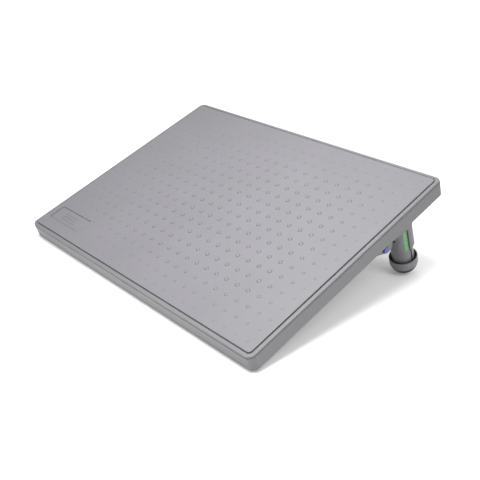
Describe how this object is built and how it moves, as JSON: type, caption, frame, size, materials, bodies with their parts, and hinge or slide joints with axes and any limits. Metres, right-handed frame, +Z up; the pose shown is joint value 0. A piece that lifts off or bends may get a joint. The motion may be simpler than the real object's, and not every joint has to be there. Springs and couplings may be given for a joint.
{
  "type": "slant board",
  "caption": "Low tilted foot platform: grey moulded board with a domed tread, rubber front strips and two telescoping rear legs, each with a push-button height latch.",
  "frame": {"origin": "on the floor, under the middle of the board's outline, legs fully out", "axes": "+Z up, +X to the right across the board, +Y from the low front edge to the raised back edge"},
  "size_m": [0.457, 0.3297, 0.1364],
  "materials": {
    "board_grey": "fine texture",
    "tread_grey": "satin, fine texture",
    "post_grey": "satin",
    "foot_grey": "satin",
    "black_rubber": "matte",
    "mark_green": "satin",
    "button_blue": "satin",
    "black_plastic": "matte",
    "spring_steel": "bright drawn",
    "screw_steel": "zinc plated"
  },
  "bodies": {
    "board": {"base_tray": "board_grey", "top_cover": "board_grey", "tread_panel": "tread_grey", "blank_plate": "tread_grey", "case_screws": "screw_steel", "left_front_strip": "black_rubber", "left_leg_housing": "board_grey", "left_housing_screws": "screw_steel", "left_button_spring": "spring_steel", "right_front_strip": "black_rubber", "right_leg_housing": "board_grey", "right_housing_screws": "screw_steel", "right_button_spring": "spring_steel"},
    "left_leg": {"left_leg_post": "post_grey", "left_height_mark": "mark_green", "left_foot_cup": "foot_grey", "left_foot_sole": "black_rubber"},
    "left_button_slide": {"left_button": "button_blue"},
    "left_latch_slide": {"left_latch": "black_plastic"},
    "right_leg": {"right_leg_post": "post_grey", "right_height_mark": "mark_green", "right_foot_cup": "foot_grey", "right_foot_sole": "black_rubber"},
    "right_button_slide": {"right_button": "button_blue"},
    "right_latch_slide": {"right_latch": "black_plastic"}
  },
  "joints": [
    {"name": "left_leg_height", "type": "slide", "parent": "board", "child": "left_leg", "axis": [0, 0.333, -0.9429], "range_m": [-0.026, 0]},
    {"name": "left_button_press", "type": "slide", "parent": "board", "child": "left_button_slide", "axis": [1, 0, 0], "range_m": [0, 0.003], "stiffness_N_per_m": 1200, "springref_m": -0.004, "deforming": ["left_button_spring"]},
    {"name": "left_latch_release", "type": "slide", "parent": "board", "child": "left_latch_slide", "axis": [0, -0.9429, -0.333], "range_m": [0, 0.003]},
    {"name": "right_leg_height", "type": "slide", "parent": "board", "child": "right_leg", "axis": [0, 0.333, -0.9429], "range_m": [-0.026, 0]},
    {"name": "right_button_press", "type": "slide", "parent": "board", "child": "right_button_slide", "axis": [-1, 0, 0], "range_m": [0, 0.003], "stiffness_N_per_m": 1200, "springref_m": -0.004, "deforming": ["right_button_spring"]},
    {"name": "right_latch_release", "type": "slide", "parent": "board", "child": "right_latch_slide", "axis": [0, -0.9429, -0.333], "range_m": [0, 0.003]}
  ],
  "couplings": [
    {"joint": "left_latch_release", "follows": "left_button_press", "ratio": 1},
    {"joint": "right_latch_release", "follows": "right_button_press", "ratio": 1}
  ]
}
